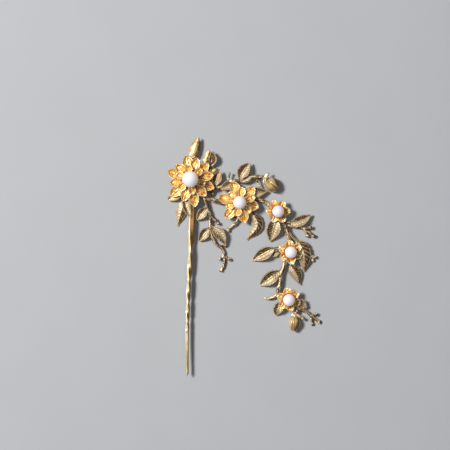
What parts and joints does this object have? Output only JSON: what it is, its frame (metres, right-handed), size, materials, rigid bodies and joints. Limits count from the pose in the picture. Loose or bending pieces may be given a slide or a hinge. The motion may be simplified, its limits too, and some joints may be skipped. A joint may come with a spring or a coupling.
{
  "type": "hair pin",
  "caption": "Flat twisted hair stick topped by a cast branch that arches over and hangs down, with enamelled flowers, pearl centres, folded leaves, buds and knobbed twigs.",
  "frame": {"origin": "on the main flower's axis, at the flat back of its boss, where the pin lies on a table", "axes": "+X towards the drooping branch, +Y from the stick's tip towards the crown leaf, +Z out of the flowers' faces"},
  "size_m": [0.0773, 0.1189, 0.0152],
  "materials": {
    "antique_gold": "cast and antiqued, rubbed bright on the high spots and dark in the recesses",
    "stick_gold": "satin, lightly hammered",
    "amber_enamel": "translucent amber enamel with pale gold rims",
    "pearl": "pearl lustre"
  },
  "bodies": {
    "root": {"bud_lower": "antique_gold", "bud_stem": "antique_gold", "bud_upper": "antique_gold", "fifth_pearl": "pearl", "fifth_petals": "amber_enamel", "fifth_seat": "antique_gold", "fourth_pearl": "pearl", "fourth_petals": "amber_enamel", "fourth_seat": "antique_gold", "hair_stick": "stick_gold", "hanging_stem": "antique_gold", "leaf_crown": "antique_gold", "leaf_fifth_left": "antique_gold", "leaf_fifth_right": "antique_gold", "leaf_fourth_bract": "antique_gold", "leaf_fourth_left": "antique_gold", "leaf_fourth_right": "antique_gold", "leaf_hanging_left": "antique_gold", "leaf_hanging_right": "antique_gold", "leaf_hanging_top": "antique_gold", "leaf_inner_upright": "antique_gold", "leaf_main_left": "antique_gold", "leaf_main_low": "antique_gold", "leaf_main_over_stick": "antique_gold", "leaf_second_left": "antique_gold", "leaf_second_low": "antique_gold", "leaf_second_right": "antique_gold", "leaf_second_top": "antique_gold", "leaf_stem_left": "antique_gold", "leaf_stem_right": "antique_gold", "leaf_third_low": "antique_gold", "leaf_third_right": "antique_gold", "leaf_upper_curl": "antique_gold", "leaf_upper_hollow": "antique_gold", "leaf_upper_slim": "antique_gold", "main_boss": "antique_gold", "main_inner_petals": "amber_enamel", "main_middle_petals": "amber_enamel", "main_outer_petals": "amber_enamel", "main_pearl": "pearl", "second_inner_petals": "amber_enamel", "second_outer_petals": "amber_enamel", "second_pearl": "pearl", "second_seat": "antique_gold", "stem_crown": "antique_gold", "stem_fourth_to_fifth": "antique_gold", "stem_main_to_second": "antique_gold", "stem_second_to_third": "antique_gold", "stem_third_to_fourth": "antique_gold", "stem_upper_twig": "antique_gold", "tendril_left_of_fifth": "antique_gold", "third_pearl": "pearl", "third_petals": "amber_enamel", "third_seat": "antique_gold", "twig_below_second": "antique_gold", "twig_end": "antique_gold", "twig_right_of_fourth": "antique_gold", "twig_right_of_third": "antique_gold"}
  },
  "joints": []
}
